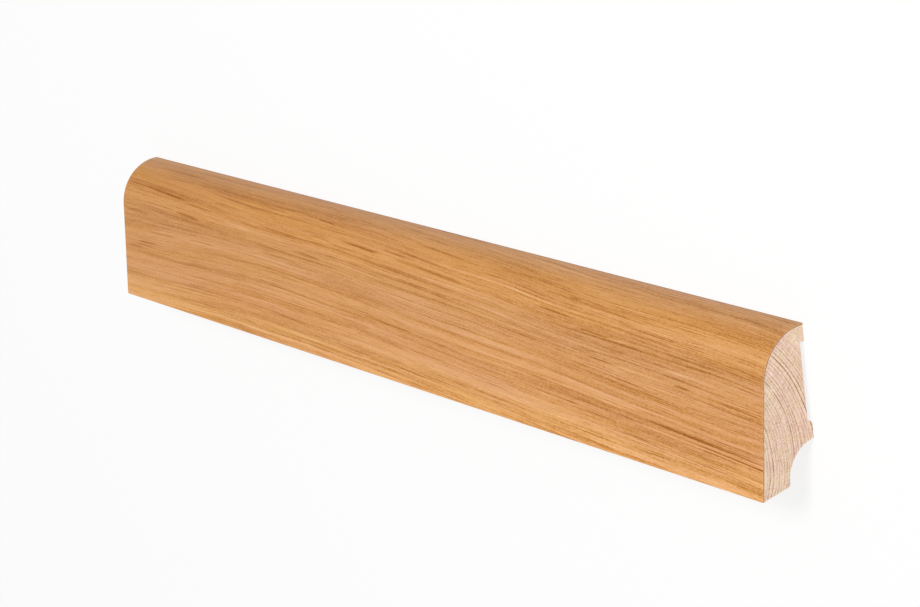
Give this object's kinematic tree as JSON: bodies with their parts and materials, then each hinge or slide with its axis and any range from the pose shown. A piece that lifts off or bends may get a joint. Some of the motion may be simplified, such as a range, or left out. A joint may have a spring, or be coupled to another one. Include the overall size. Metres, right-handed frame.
{
  "type": "skirting board length",
  "caption": "Length of skirting board: a round-topped, leaning-front softwood moulding wrapped in wood veneer, with a clip recess, a tooth and a cable channel along its back.",
  "frame": {"origin": "middle of the board on the wall plane, halfway along its length and halfway up its height, which is the bottom centre of its bounding box", "axes": "+X along the length; +Y from the foot, the edge that meets the floor of a room, to the rounded top; +Z from the wall plane to the room side. The board lies on its back."},
  "size_m": [0.43, 0.058, 0.026],
  "materials": {
    "softwood": "planed, bare",
    "veneer": "clear satin lacquer on real-wood veneer"
  },
  "bodies": {
    "root": {"softwood_core": "softwood", "veneer_wrap": "veneer"}
  },
  "joints": []
}
